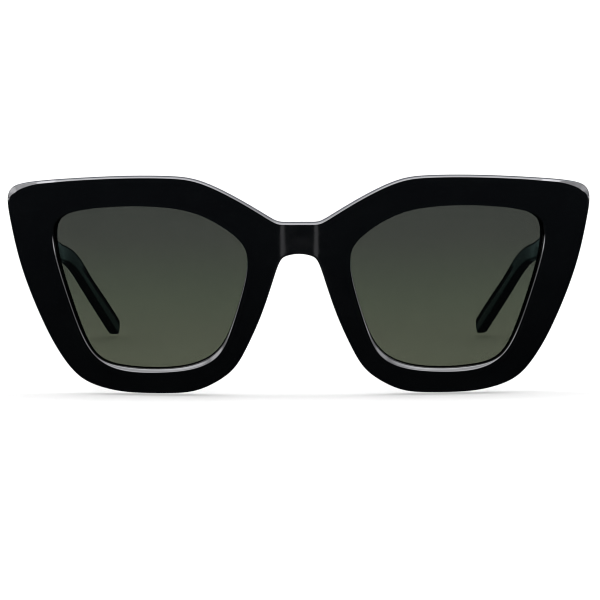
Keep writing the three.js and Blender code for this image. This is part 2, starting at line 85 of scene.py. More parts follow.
TEMPLE = [(12.6, 66.7, 40.6, 2.1, 5.0, 0.9), (24, 66.7, 38.78, 2.1, 4.9, 0.9),
    (38, 66.7, 36.54, 2.1, 4.6, 0.9), (54, 66.7, 33.98, 2.1, 4.2, 1.0),
    (70, 66.84, 30.95, 1.98, 3.42, 1.05), (84, 66.35, 28.70, 1.78, 2.74, 1.05),
    (95, 65.75, 27.22, 1.62, 2.25, 1.05), (103, 63.66, 25.85, 1.54, 2.11, 1.05),
    (110, 61.04, 21.69, 1.52, 2.19, 1.05), (118, 58.54, 15.99, 1.54, 2.37, 1.05),
    (126.5, 55.85, 10.42, 1.58, 2.52, 1.05), (133.5, 53.79, 5.88, 1.6, 2.57, 1.05),
    (138.5, 52.19, 2.43, 1.6, 2.5, 1.05)]
WIRE_T, WIRE_H, WIRE_CLEAR, WIRE_FROM, WIRE_TO = 1.2, 2.0, 0.15, 0.35, 11.0

# ------------------------------------------------------------ curves
def weights(t):
    s = 1 - t
    return (s**3 / 6, (3 * t**3 - 6 * t * t + 4) / 6, (-3 * t**3 + 3 * t * t + 3 * t + 1) / 6, t**3 / 6)

def slopes(t):
    s = 1 - t
    return (-s * s / 2, (3 * t * t - 4 * t) / 2, (-3 * t * t + 2 * t + 1) / 2, t * t / 2)

def spline(u, control, w):
    i = math.floor(u)
    f = w(u - i)
    return sum(f[k] * np.array(control(i - 1 + k), float) for k in range(4))

K = len(OUTLINE) - 1

def outline_control(j):
    sx = 1
    if j < 0: j, sx = -j, -1
    if j > K: j, sx = 2 * K - j, -1
    return (sx * OUTLINE[j][0], OUTLINE[j][1] + LIFT)

def eye_control(j):
    c = EYE[j % len(EYE)]
    return (c[0], c[1] + LIFT, c[2], c[3])

def temple_control(j):
    n = len(TEMPLE) - 1
    if j < 0: return 2 * np.array(TEMPLE[0]) - np.array(TEMPLE[1])
    if j > n: return 2 * np.array(TEMPLE[n]) - np.array(TEMPLE[n - 1])
    return TEMPLE[j]

def outline_at(u):
    p, d = spline(u, outline_control, weights), spline(u, outline_control, slopes)
    l = math.hypot(d[0], d[1])
    g = POLISH * smooth(12.3, 13.6, u) + FOOT * smooth(18, 20.5, u) * (1 - smooth(24.5, 27, u))
    return p[0] - g * d[1] / l, p[1] + g * d[0] / l, -d[1] / l, d[0] / l

def eye_at(v):
    p, d = spline(v, eye_control, weights), spline(v, eye_control, slopes)
    l = math.hypot(d[0], d[1])
    return p[0], p[1], d[1] / l, -d[0] / l, p[2], p[3]

def sag(x, z):
    a = abs(x)
    t = min(max((a - (BEND_X - BEND_W)) / (2 * BEND_W), 0), 1)
    bend = 2 * BEND_W * (t**3 - 0.5 * t**4) + max(a - (BEND_X + BEND_W), 0)
    return BEND_SLOPE * bend + 0.5 * FACE_K * max(a - BEND_X, 0) ** 2 + (z - FACE_ZC) ** 2 / (2 * FACE_RZ)

def smooth(a, b, x):
    t = min(max((x - a) / (b - a), 0), 1)
    return t * t * (3 - 2 * t)

def crest(x, z):
    """Width of the polished edge along the brow, a little wider over the bridge."""
    return EDGE + smooth(30, 38, z) * (0.05 + 0.07 * (1 - smooth(4, 16, abs(x))))

def edge_width(x, z):
    return crest(x, z) + (0.14 * smooth(56, 64, x) + CORNER_FACET * smooth(65, 74.5, x)) * smooth(48.1, 51.2, z)

def facing(u):
    i = min(int(math.floor(u)), len(FACING) - 2)
    return FACING[i] + (u - i) * (FACING[i + 1] - FACING[i])

# ------------------------------------------------------------ mesh helpers
def mesh_object(name, verts, faces):
    m = bpy.data.meshes.new(name)
    m.from_pydata([tuple(map(float, v)) for v in verts], [], faces)
    m.validate()
    o = bpy.data.objects.new(name, m)
    bpy.context.scene.collection.objects.link(o)
    return o

def tidy(o, dist=1e-4):
    bm = bmesh.new()
    bm.from_mesh(o.data)
    bmesh.ops.remove_doubles(bm, verts=bm.verts, dist=dist)
    bmesh.ops.recalc_face_normals(bm, faces=bm.faces)
    bm.to_mesh(o.data)
    bm.free()
    return o

def lofted(name, rows, cap_start=True, cap_end=True):
    n, verts, faces = len(rows[0]), [p for r in rows for p in r], []
    for i in range(len(rows) - 1):
        for j in range(n):
            k = (j + 1) % n
            faces.append((i * n + j, i * n + k, (i + 1) * n + k, (i + 1) * n + j))
    if cap_start: faces.append(tuple(range(n)))
    if cap_end: faces.append(tuple(reversed(range((len(rows) - 1) * n, len(rows) * n))))
    return tidy(mesh_object(name, verts, faces))

def box(w, d, h, x, y, z, turn=None):
    c = [(x + sx * w / 2, y + sy * d / 2, z + sz * h / 2) for sx in (-1, 1) for sy in (-1, 1) for sz in (-1, 1)]
    if turn is not None: c = [turn @ Vector(p) for p in c]
    return tidy(mesh_object("tmp", c, [(0, 1, 3, 2), (4, 6, 7, 5), (0, 4, 5, 1), (2, 3, 7, 6), (0, 2, 6, 4), (1, 5, 7, 3)]))

def turned(name, profile, n, frame_m):
    """Solid of revolution about +Y of its own frame; profile as (radius, height), from axis to axis."""
    rows = [[frame_m @ Vector((r * math.cos(2 * math.pi * k / n), h, r * math.sin(2 * math.pi * k / n))) for k in range(n)]
            for r, h in profile if r > 1e-6]
    return lofted(name, rows)

def post(r, h, x, y, z, n=48):
    m = Matrix.Translation((x, y, z)) @ Matrix.Rotation(math.pi / 2, 4, "X")
    return turned("tmp", [(r, -h / 2), (r, h / 2)], n, m)

def apply_modifiers(o):
    dg = bpy.context.evaluated_depsgraph_get()
    m = bpy.data.meshes.new_from_object(o.evaluated_get(dg))
    o.modifiers.clear()
    old = o.data
    o.data = m
    bpy.data.meshes.remove(old)
    return o

def boolean(o, others, op):
    for c in others:
        mod = o.modifiers.new("b", "BOOLEAN")
        mod.operation, mod.object, mod.solver = op, c, "EXACT"
        apply_modifiers(o)
        me = c.data
        bpy.data.objects.remove(c)
        bpy.data.meshes.remove(me)
    return o

def join(parts):
    """Joins disjoint solids into the first one."""
    bm = bmesh.new()
    for p in parts: bm.from_mesh(p.data)
    bm.to_mesh(parts[0].data)
    bm.free()
    for p in parts[1:]:
        me = p.data
        bpy.data.objects.remove(p)
        bpy.data.meshes.remove(me)
    return parts[0]

def bevelled(o, width, segments=3, angle=35):
    mod = o.modifiers.new("v", "BEVEL")
    mod.width, mod.segments, mod.limit_method, mod.angle_limit = width, segments, "ANGLE", math.radians(angle)
    mod.harden_normals = False
    return apply_modifiers(o)

def shade(o, angle=30):
    me = o.data
    me.polygons.foreach_set("use_smooth", [True] * len(me.polygons))
    bm = bmesh.new()
    bm.from_mesh(me)
    lim = math.radians(angle)
    for e in bm.edges:
        e.smooth = not (len(e.link_faces) == 2 and e.calc_face_angle(0) > lim)
    bm.to_mesh(me)
    bm.free()
    return o

def mirror_copy(o, name):
    m = o.data.copy()
    bm = bmesh.new()
    bm.from_mesh(m)
    for v in bm.verts: v.co.x = -v.co.x
    bmesh.ops.reverse_faces(bm, faces=bm.faces)
    bm.to_mesh(m)
    bm.free()
    c = bpy.data.objects.new(name, m)
    m.name = name
    bpy.context.scene.collection.objects.link(c)
    return c

def settle(o, name):
    """From millimetres with the bridge at y = 0 to the row frame in metres."""
    o.data.transform(Matrix.Scale(MM, 4) @ Matrix.Translation((0, -CENTRE_Y, 0)))
    o.name = o.data.name = name
    return o

def place(o, name, node, body, mat):
    settle(o, name)
    o.data.materials.clear()
    o.data.materials.append(mat)
    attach(o, body)
    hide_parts(node)
    return o

# ------------------------------------------------------------ node graph helper
class Graph:
    """Small wrapper for building shader nodes with arithmetic."""
    def __init__(self, tree):
        self.t = tree
        tree.nodes.clear()
    def node(self, kind, **props):
        n = self.t.nodes.new(kind)
        for k, v in props.items(): setattr(n, k, v)
        return n
    def put(self, socket, value):
        if isinstance(value, bpy.types.NodeSocket): self.t.links.new(value, socket)
        elif isinstance(value, (tuple, list)) and len(value) == 3 and len(getattr(socket, "default_value", (0, 0, 0))) == 4: socket.default_value = (*value, 1)
        else: socket.default_value = value
    def math(self, op, a, b=None, c=None, clamp=False):
        n = self.node("ShaderNodeMath", operation=op, use_clamp=clamp)
        for s, v in zip(n.inputs, (a, b, c)):
            if v is not None: self.put(s, v)
        return n.outputs[0]
    def ramp(self, x, a, b, lo=0.0, hi=1.0, kind="SMOOTHSTEP"):
        n = self.node("ShaderNodeMapRange", interpolation_type=kind)
        for s, v in zip(n.inputs, (x, a, b, lo, hi)): self.put(s, v)
        return n.outputs[0]
    def noise(self, vec, scale, detail=2.0, rough=0.5, distort=0.0):
        n = self.node("ShaderNodeTexNoise")
        self.put(n.inputs["Vector"], vec)
        for k, v in (("Scale", scale), ("Detail", detail), ("Roughness", rough), ("Distortion", distort)): self.put(n.inputs[k], v)
        return n.outputs["Fac"]
    def scaled(self, vec, s):
        n = self.node("ShaderNodeMapping")
        self.put(n.inputs["Vector"], vec)
        n.inputs["Scale"].default_value = s
        return n.outputs[0]
    def mixc(self, f, a, b):
        n = self.node("ShaderNodeMix", data_type="RGBA")
        self.put(n.inputs["Factor"], f)
        self.put(n.inputs["A"] if n.inputs["A"].type == "RGBA" else n.inputs[6], a)
        self.put(n.inputs[7], b)
        return n.outputs[2]
    def bump(self, h, strength, dist):
        n = self.node("ShaderNodeBump")
        self.put(n.inputs["Height"], h)
        n.inputs["Strength"].default_value, n.inputs["Distance"].default_value = strength, dist
        return n.outputs[0]

def material(name):
    m = bpy.data.materials.new(name)
    m.use_nodes = True
    g = Graph(m.node_tree)
    out = g.node("ShaderNodeOutputMaterial")
    return m, g, out

def principled(g, **inputs):
    n = g.node("ShaderNodeBsdfPrincipled")
    for k, v in inputs.items(): g.put(n.inputs[k.replace("_", " ")], v)
    return n

def object_coords(g):
    return g.node("ShaderNodeTexCoord").outputs["Object"]

def fillet(corners):
    """Polyline of flat corners (p, q, radius, segments): rounds them and lays a support point beside each arc."""
    out = []
    for i, (p, q, r, seg) in enumerate(corners):
        c = np.array((p, q), float)
        if i in (0, len(corners) - 1) or r <= 0:
            out.append(c)
            continue
        a, b = np.array(corners[i - 1][:2], float), np.array(corners[i + 1][:2], float)
        la, lb = np.linalg.norm(a - c), np.linalg.norm(b - c)
        ra, rb = min(r, 0.4 * la), min(r, 0.4 * lb)
        ea, eb = (a - c) / max(la, 1e-9), (b - c) / max(lb, 1e-9)
        out.append(c + ea * min(ra + 0.08, 0.46 * la + 1e-5))
        for k in range(seg + 1):
            t = k / seg
            out.append((1 - t)**2 * (c + ea * ra) + 2 * t * (1 - t) * c + t * t * (c + eb * rb))
        out.append(c + eb * min(rb + 0.08, 0.46 * lb + 1e-5))
    return out

# ------------------------------------------------------------ front
PER_KNOT = 14

def top_edge(x, z, nz):
    """Inward width and depth of the polished front edge, at a place on the outline."""
    w = edge_width(x, z)
    up = smooth(0.55, 0.95, nz) * smooth(30, 38, z)
    return w, w * (1 + 0.9 * up * (1 - smooth(0.02, 0.2, w - crest(x, z))))

def rim_row(u):
    x, z, nx, nz, w, wa = eye_at(facing(u))
    def eye(o, d):
        px, pz = x + (o - w) * nx, z + (o - w) * nz
        return (px, sag(px, pz) + d, pz)
    def at(q, e):
        ox, oz, onx, onz = outline_at(q)
        return ox - e * onx, oz - e * onz
    ox, oz, onx, onz = outline_at(min(u, K))
    ew, ed = top_edge(ox, oz, onz) if u <= K else (EDGE, EDGE)
    def edge(e, d):
        if u <= K: px, pz = at(u, e)
        else:
            a, b = at(K, e), at(0, e)
            px, pz = 0.0, a[1] + (u - K) * (b[1] - a[1])
        if u == 0 or u >= K: px = 0.0
        return (px, sag(px, pz) + d, pz)
    lip = max(w - wa - 0.1, 0)
    inner = fillet([(w + 0.5, 0, 0, 0), (w, 0, 0.04, 3), (w - 0.25 * wa, 0.21 * wa, 0.1, 2), (w - 0.75 * wa, 0.71 * wa, 0.1, 2),
                    (w - wa, 1.008 * wa, 0.03, 3), (lip, 1.66, 0.03, 3),
                    (lip, GROOVE_FRONT, 0, 0), (GROOVE_DEPTH, GROOVE_FRONT, 0, 0), (GROOVE_DEPTH, GROOVE_BACK, 0, 0),
                    (0, GROOVE_BACK, 0, 0), (0, THICK, 0.4, 5), (1.2, THICK, 0, 0)])[1:-1]
    outer = fillet([(ew + 0.5, 0, 0, 0), (ew, 0, 0.06, 3), (0, ed, 0.06, 3), (0, THICK, 0.75, 7), (1.6, THICK, 0, 0)])[1:-1]
    row = [eye(*p) for p in inner]
    mid = lambda a, b, s, d: (lambda px, pz: (px, sag(px, pz) + d, pz))(a[0] + s * (b[0] - a[0]), a[2] + s * (b[2] - a[2]))
    out = [edge(*p) for p in outer]
    face = [mid(out[0], row[0], s, 0) for s in np.linspace(0, 1, 18)[1:-1]]
    back = [mid(row[-1], out[-1], s, THICK) for s in np.linspace(0, 1, 11)[1:-1]]
    return row + back + list(reversed(out)) + face

def front_frame():
    us = [i / PER_KNOT for i in range(K * PER_KNOT)] + [K + i / 12 for i in range(12)]
    rows = np.array([rim_row(u) for u in us])
    n, m = rows.shape[:2]
    verts = rows.reshape(-1, 3)
    flat = np.abs(verts[:, 0]) < 1e-7
    faces = []
    for i in range(n):
        a0, b0 = i * m, ((i + 1) % n) * m
        for j in range(m):
            k = (j + 1) % m
            f = (a0 + j, a0 + k, b0 + k, b0 + j)
            if not all(flat[q] for q in f): faces.append(f)
    other = verts * np.array([-1, 1, 1])
    both = np.concatenate([verts, other])
    faces += [tuple(q + len(verts) for q in reversed(f)) for f in faces]
    return tidy(mesh_object("front", both, faces), 2e-4)

# ------------------------------------------------------------ hinge frames
HINGE_Y = sag(HINGE_X, HINGE_Z) + THICK + HINGE_BACK
PLATE_X = 66.5
PLATE_TURN = math.atan(BEND_SLOPE + FACE_K * (PLATE_X - BEND_X))
PLATE_Y = sag(PLATE_X, HINGE_Z) + THICK - 0.06
plate_frame = Matrix.Translation((PLATE_X, PLATE_Y, HINGE_Z)) @ Matrix.Rotation(PLATE_TURN, 4, "Z")
LEAF_X = TEMPLE_IN_X + 0.06
leaf_frame = Matrix.Translation((LEAF_X, HINGE_Y, HINGE_Z)) @ Matrix.Rotation(-math.atan(TEMPLE_SLOPE), 4, "X")
KNUCKLE, KNUCKLE_STEP = 1.4, 1.5
FRONT_KNUCKLES, TEMPLE_KNUCKLES = (-2, 0, 2), (-1, 1)
PLATE_PINS, LEAF_PINS = (-2.0, 2.0), ((4.6, 1.7), (8.8, -1.7))
PIN_HEAD, PIN_R, PIN_CONE = 0.95, 0.5, 0.45
LEAF_FROM, LEAF_LONG = -0.75, 12.2

def plate_pin(h): return plate_frame @ Matrix.Translation((0.4, -0.03, h))
def leaf_pin(p): return leaf_frame @ Matrix.Translation((0.03, p[0], p[1])) @ Matrix.Rotation(math.pi / 2, 4, "Z")

def pin_hole(m, long):
    return turned("tmp", [(PIN_R + 0.1, -long - 0.12), (PIN_R + 0.1, -PIN_CONE - 0.1), (PIN_HEAD + 0.1, 0), (PIN_HEAD + 0.1, 1)], 48, m)

def pin(m, long):
    return turned("tmp", [(PIN_R - 0.1, -long), (PIN_R, -long + 0.1), (PIN_R, -PIN_CONE), (PIN_HEAD - 0.02, -0.05),
                          (PIN_HEAD - 0.03, -0.015), (PIN_HEAD - 0.12, 0.0), (0.5, 0.012), (0.2, 0.018)], 48, m)

def knuckle(z):
    h, r, c = KNUCKLE / 2, BARREL_R, 0.12
    m = Matrix.Translation((HINGE_X, HINGE_Y, z)) @ Matrix.Rotation(math.pi / 2, 4, "X")
    arc = [(r - c + c * math.sin(q), h - c + c * math.cos(q)) for q in np.linspace(0, math.pi / 2, 4)]
    return turned("tmp", [(a, -b) for a, b in arc] + [(a, b) for a, b in reversed(arc)], 64, m)

def bore():
    return post(BORE_R, BARREL_H + 2, HINGE_X, HINGE_Y, HINGE_Z)

def cut_all(o, cutters):
    return boolean(o, cutters, "DIFFERENCE")

def front_hinge():
    m = bevelled(box(PLATE_W, PLATE_T, PLATE_H, -0.15, -PLATE_T / 2, 0, plate_frame), 0.16, 3)
    adds = []
    for k in FRONT_KNUCKLES:
        z = HINGE_Z + k * KNUCKLE_STEP
        adds.append(knuckle(z))
        adds.append(bevelled(box(0.9, HINGE_BACK + 0.6, KNUCKLE - 0.04, 63.85, HINGE_Y - (HINGE_BACK + 0.6) / 2, z), 0.08, 2))
    boolean(m, adds, "UNION")
    return cut_all(m, [bore()] + [pin_hole(plate_pin(h), 2.7) for h in PLATE_PINS])

def temple_hinge():
    m = bevelled(box(LEAF_T, LEAF_LONG, LEAF_H, LEAF_T / 2, LEAF_FROM + LEAF_LONG / 2, 0, leaf_frame), 0.16, 3)
    adds = []
    for k in TEMPLE_KNUCKLES:
        z = HINGE_Z + k * KNUCKLE_STEP
        adds.append(knuckle(z))
        adds.append(bevelled(box(LEAF_X + 0.5 - HINGE_X, 1.5, KNUCKLE - 0.04, (LEAF_X + 0.5 + HINGE_X) / 2, HINGE_Y + 0.05, z), 0.08, 2))
    boolean(m, adds, "UNION")
    return cut_all(m, [bore()] + [pin_hole(leaf_pin(p), 2.0) for p in LEAF_PINS])

def screw():
    top = BARREL_H / 2 - 0.05 + CLEAR
    m = Matrix.Translation((HINGE_X, HINGE_Y, HINGE_Z)) @ Matrix.Rotation(math.pi / 2, 4, "X")
    o = turned("tmp", [(SCREW_R - 0.15, -BARREL_H / 2 - 0.35), (SCREW_R - 0.04, -BARREL_H / 2 - 0.26), (SCREW_R, -BARREL_H / 2 - 0.15),
                       (SCREW_R, top), (1.12, top), (1.2, top + 0.06), (1.2, top + 0.36), (1.17, top + 0.45), (1.08, top + 0.55),
                       (0.9, top + 0.63), (0.5, top + 0.65)], 64, m)
    return cut_all(o, [box(3, 0.3, 0.5, HINGE_X, HINGE_Y, HINGE_Z + top + 0.65)])

# ------------------------------------------------------------ temples
NT = len(TEMPLE) - 1

def temple_frame(u):
    p, d = spline(u, temple_control, weights), spline(u, temple_control, slopes)
    T = Vector((d[1], d[0], d[2])).normalized()
    W = T.cross(Vector((0, 0, 1))).normalized()
    return Vector((p[1], p[0], p[2])), T, W, W.cross(T), p[3], p[4], p[5]

def section(a, b, r, arc=7, side=5, end=2, top=None, foot=None):
    """Rounded slab; the radii of the two edges on the head side may differ."""
    top, foot = min(top or r, 0.95 * a), min(foot or r, 0.95 * a)
    out = []
    radii = (r, top, foot, r)
    for q0, sx, sy, (ex, ey), n in ((0, 1, 1, (-1, 0), end), (1, -1, 1, (0, -1), side), (2, -1, -1, (1, 0), end), (3, 1, -1, (0, 1), side)):
        r, after = radii[q0], radii[(q0 + 1) % 4]
        c = (sx * (a - r), sy * (b - r))
        for i in range(arc + 1):
            q = (q0 + i / arc) * math.pi / 2
            out.append((c[0] + r * math.cos(q), c[1] + r * math.sin(q)))
        last, length = out[-1], 2 * (a if ex else b) - r - after
        pad = min(0.1, length * 0.2)
        for s in [pad] + [length * k / (n + 1) for k in range(1, n + 1)] + [length - pad]:
            out.append((last[0] + ex * s, last[1] + ey * s))
    return out

def temple_section(u, a, b, r):
    """Past the bend the upper part of the inner face leans outward."""
    top = r - 0.35 * smooth(4.6, 5.6, u) + 0.35 * smooth(7.1, 8.4, u)
    lean, start = 0.21 * smooth(7.6, 9.2, u), b - 2.55
    pts = section(a, b, r, 12, 8, 2, top, r - 0.6 * smooth(4.6, 6.2, u))
    return [(w + lean * max(h - start, 0) * min(max(-w, 0) / (0.6 * a), 1), h) for w, h in pts]

def laid(f, pts, slide=0.0):
    c, T, W, H = f[:4]
    return [c + W * w + H * h + T * slide for w, h in pts]

def to_end(p, f, gap):
    for _ in range(4): p = p + f[1] * ((sag(p.x, p.z) + THICK + gap - p.y) / f[1].y)
    return p

def temple_body():
    rows, f0 = [], temple_frame(0)
    rr = 0.28
    for q in np.linspace(0, math.pi / 2, 6):
        inset, back = rr * (1 - math.sin(q)), rr * (1 - math.cos(q))
        pts = section(f0[4] - inset, f0[5] - inset, f0[6] - inset * 0.6, 12, 8)
        rows.append([to_end(p, f0, TEMPLE_GAP) + f0[1] * back for p in laid(f0, pts)])
    steps = 190
    for u in np.linspace(0.15, NT, steps):
        f = temple_frame(u)
        rows.append(laid(f, temple_section(u, f[4], f[5], f[6])))
    f, reach = temple_frame(NT), 1.6
    for q in np.linspace(0, math.pi / 2, 12)[1:-1]:
        s = math.cos(q)
        a, b = f[4] * (0.4 + 0.6 * s), f[5] * (0.5 + 0.5 * s)
        rows.append(laid(f, temple_section(NT, a, b, min(f[6], a * 0.95)), reach * math.sin(q)))
    return lofted("tmp", rows)

def wire(grow, start, stop, lead, round_=0.0):
    a, b, rows = WIRE_T / 2 + grow, WIRE_H / 2 + grow, []
    pts = section(a, b, round_, 4, 1, 1) if round_ else [(a, b), (-a, b), (-a, -b), (a, -b)]
    for i, u in enumerate(np.linspace(start, stop, 60)):
        f = temple_frame(u)
        rows.append(laid(f, pts, -lead if i == 0 else 0.0))
    return lofted("tmp", rows)

def temple():
    cuts = [wire(WIRE_CLEAR, WIRE_FROM, WIRE_TO + 0.12, 8),
            box(LEAF_T + CLEAR + 2, LEAF_LONG + 4 + CLEAR, LEAF_H + 2 * CLEAR, (LEAF_T + CLEAR - 2) / 2, LEAF_FROM - 4 + (LEAF_LONG + 4 + CLEAR) / 2, 0, leaf_frame)]
    return cut_all(temple_body(), cuts + [pin_hole(leaf_pin(p), 2.0) for p in LEAF_PINS])

# ------------------------------------------------------------ lenses
def lens():
    ring = []
    for i in range(K * PER_KNOT // 2):
        x, z, nx, nz, w, _ = eye_at(facing(2 * i / PER_KNOT))
        ring.append((x + (LENS_SEAT - w) * nx, z + (LENS_SEAT - w) * nz))
    for i in range(6):
        x, z, nx, nz, w, _ = eye_at(facing(K + i / 6))
        ring.append((x + (LENS_SEAT - w) * nx, z + (LENS_SEAT - w) * nz))
    cx, cz, n = 37.2, 26.6, len(ring)
    def at(p, s, depth, inset=0.0):
        k = s - inset / 25
        x, z = cx + k * (p[0] - cx), cz + k * (p[1] - cz)
        return (x, sag(x, z) + depth - LENS_BULGE * (1 - s * s), z)
    scales = list(np.linspace(0, 1, 15)[1:-1]) + [0.985]
    rows = [[at(p, s, LENS_FRONT) for p in ring] for s in scales]
    rows += [[at(p, 1, LENS_FRONT, 0.12) for p in ring], [at(p, 1, LENS_FRONT + 0.1) for p in ring],
             [at(p, 1, LENS_FRONT + LENS_THICK - 0.1) for p in ring], [at(p, 1, LENS_FRONT + LENS_THICK, 0.12) for p in ring]]
    rows += [[at(p, s, LENS_FRONT + LENS_THICK) for p in ring] for s in reversed(scales)]
    verts, faces = [p for r in rows for p in r], []
    for i in range(len(rows) - 1):
        for j in range(n):
            k = (j + 1) % n
            faces.append((i * n + j, i * n + k, (i + 1) * n + k, (i + 1) * n + j))
    for c, i0, turn in ((at((cx, cz), 0, LENS_FRONT), 0, 1), (at((cx, cz), 0, LENS_FRONT + LENS_THICK), (len(rows) - 1) * n, -1)):
        verts.append(c)
        for j in range(n): faces.append((len(verts) - 1, i0 + (j + 1) % n, i0 + j)[::turn])
    return tidy(mesh_object("tmp", verts, faces), 1e-4)

# ------------------------------------------------------------ nose pads
def nose_edge(z):
    lo, hi = 24.0, 31.0
    for _ in range(40):
        m = (lo + hi) / 2
        if outline_at(m)[1] < z: lo = m
        else: hi = m
    return outline_at(lo)[0]

PAD = [(0, 0), (0.02, 0.4), (0.22, 0.82), (0.52, 1.0), (0.8, 0.86), (0.97, 0.4), (1, 0)]

def pad_profile():
    pts = [np.array(p, float) for p in PAD]
    pts = [2 * pts[0] - pts[1]] + pts + [2 * pts[-1] - pts[-2]]
    out = []
    for i in range(1, len(pts) - 2):
        for k in range(6):
            t, (a, b, c, d) = k / 6, pts[i - 1:i + 3]
            out.append(0.5 * (2 * b + (c - a) * t + (2 * a - 5 * b + 4 * c - d) * t * t + (3 * b - a - 3 * c + d) * t**3))
    out.append(pts[-2])
    return out + [np.array((s, 0.0)) for s in (0.75, 0.5, 0.25)]

def nose_pad():
    rows, n, prof = [], 56, pad_profile()
    for i in range(n + 1):
        s = 0.5 - 0.5 * math.cos(math.pi * i / n)
        z = 14.5 + 17 * s
        full = max(math.sin(math.pi * (0.06 + 0.88 * s)), 0) ** 0.7
        tip = math.sqrt(max(1 - (2 * s - 1) ** 16, 0.02))
        h, w, x0 = 4.3 * full * tip, 3.9 * (0.35 + 0.65 * full) * (0.7 + 0.3 * tip), nose_edge(z) + 0.9 + 0.5 * (1 - full)
        row = []
        for a, b in prof:
            x = x0 + w * a + 0.35 * h * b
            row.append((x, sag(x, z) + THICK + 0.03 + h * b, z))
        rows.append(row)
    return lofted("tmp", rows)

# ------------------------------------------------------------ materials
def acetate(name, scratch=1.0):
    """Polished near-black acetate: faint cloudy pigment, buffing haze and fine lines in the gloss."""
    m, g, out = material(name)
    co = object_coords(g)
    cloud = g.noise(co, 85, 4, 0.55, 0.4)
    fleck = g.noise(co, 900, 2, 0.5)
    base = g.mixc(g.ramp(cloud, 0.35, 0.7), (0.0004, 0.0005, 0.0005), (0.0008, 0.0010, 0.0010))
    base = g.mixc(g.ramp(fleck, 0.62, 0.8, 0, 0.5), base, (0.0014, 0.0017, 0.0017))
    haze = g.noise(g.scaled(co, (1, 1, 1.6)), 140, 3, 0.6, 0.8)
    lines = g.noise(g.scaled(co, (60, 60, 1400)), 6, 2, 0.6)
    rough = g.math("ADD", g.ramp(haze, 0.3, 0.75, 0.045, 0.085), g.ramp(lines, 0.55, 0.8, 0, 0.02 * scratch))
    wave = g.noise(co, 55, 2, 0.5)
    n = g.bump(wave, 0.10, 0.00008)
    p = principled(g, Base_Color=base, Roughness=rough, IOR=1.49, Normal=n)
    g.put(out.inputs["Surface"], p.outputs[0])
    return m

def tinted(name):
    """Tinted lens: smoke grey at the top that turns to olive at the bottom, and clearer there."""
    m, g, out = material(name)
    co = object_coords(g)
    sep = g.node("ShaderNodeSeparateXYZ")
    g.put(sep.inputs[0], co)
    cloud = g.noise(co, 30, 2, 0.5)
    z = g.math("ADD", sep.outputs["Z"], g.math("MULTIPLY", g.math("SUBTRACT", cloud, 0.5), 0.0015))
    ramp = g.node("ShaderNodeValToRGB")
    g.put(ramp.inputs[0], g.ramp(z, 0.003, 0.049, 0, 1, "LINEAR"))
    stops = TINT
    cr = ramp.color_ramp
    cr.interpolation = "LINEAR"
    while len(cr.elements) < len(stops): cr.elements.new(0.5)
    for e, (at, c) in zip(cr.elements, stops):
        e.position = at
        e.color = (*[2 * v for v in c], 1)
    clear = g.node("ShaderNodeBsdfTransparent")
    g.put(clear.inputs[0], ramp.outputs[0])
    smear = g.noise(co, 200, 3, 0.6, 1.0)
    gloss = principled(g, Base_Color=g.mixc(cloud, (0.0004, 0.0006, 0.0004), (0.0008, 0.0010, 0.0007)), Roughness=g.ramp(smear, 0.4, 0.8, 0.015, 0.04),
                       IOR=1.5, Specular_IOR_Level=0.5)
    mix = g.node("ShaderNodeMixShader")
    mix.inputs[0].default_value = 0.5
    g.put(mix.inputs[1], clear.outputs[0])
    g.put(mix.inputs[2], gloss.outputs[0])
    g.put(out.inputs["Surface"], mix.outputs[0])
    return m

# what each lens surface lets through, from the bottom of the lens to the top
TINT = [(0, (0.271, 0.287, 0.237)), (0.12, (0.269, 0.285, 0.239)), (0.27, (0.251, 0.267, 0.225)), (0.42, (0.237, 0.257, 0.217)),
        (0.57, (0.220, 0.238, 0.206)), (0.78, (0.202, 0.211, 0.195)), (1, (0.190, 0.200, 0.188))]

def brushed(name, colour, dark, rough, grain):
    """Bare metal with fine machining lines along one axis and a little tarnish."""
    m, g, out = material(name)
    co = object_coords(g)
    lines = g.noise(g.scaled(co, grain), 9, 3, 0.65)
    tarnish = g.noise(co, 420, 4, 0.6, 0.6)
    base = g.mixc(g.ramp(tarnish, 0.45, 0.8, 0, 0.7), colour, dark)
    base = g.mixc(g.ramp(lines, 0.5, 0.8, 0, 0.35), base, tuple(1.12 * c for c in colour))
    r = g.math("ADD", g.ramp(lines, 0.3, 0.75, rough - 0.06, rough + 0.08), g.ramp(tarnish, 0.5, 0.8, 0, 0.1))
    p = principled(g, Base_Color=base, Roughness=r, Metallic=1.0, Normal=g.bump(lines, 0.25, 0.00004))
    g.put(out.inputs["Surface"], p.outputs[0])
    return m

FRONT_ACETATE = acetate("front_acetate")
TEMPLE_ACETATE = acetate("temple_acetate", 0.6)
LENS_MAT = tinted("tinted_lens")
HINGE_MAT = brushed("hinge_metal", (0.55, 0.55, 0.56), (0.34, 0.33, 0.33), 0.27, (300, 300, 3600))
SCREW_MAT = brushed("screw_steel", (0.6, 0.6, 0.61), (0.42, 0.42, 0.42), 0.22, (2600, 400, 2600))
WIRE_MAT = brushed("core_wire_metal", (0.5, 0.5, 0.51), (0.33, 0.32, 0.31), 0.32, (2400, 120, 2400))

# ------------------------------------------------------------ build
def pair(make, name, left_body, right_body, mat, angle=30):
    a = shade(make(), angle)
    b = mirror_copy(a, name + "_right_look")
    place(a, name + "_left_look", name + "_left", left_body, mat)
    place(b, name + "_right_look", name + "_right", right_body, mat)

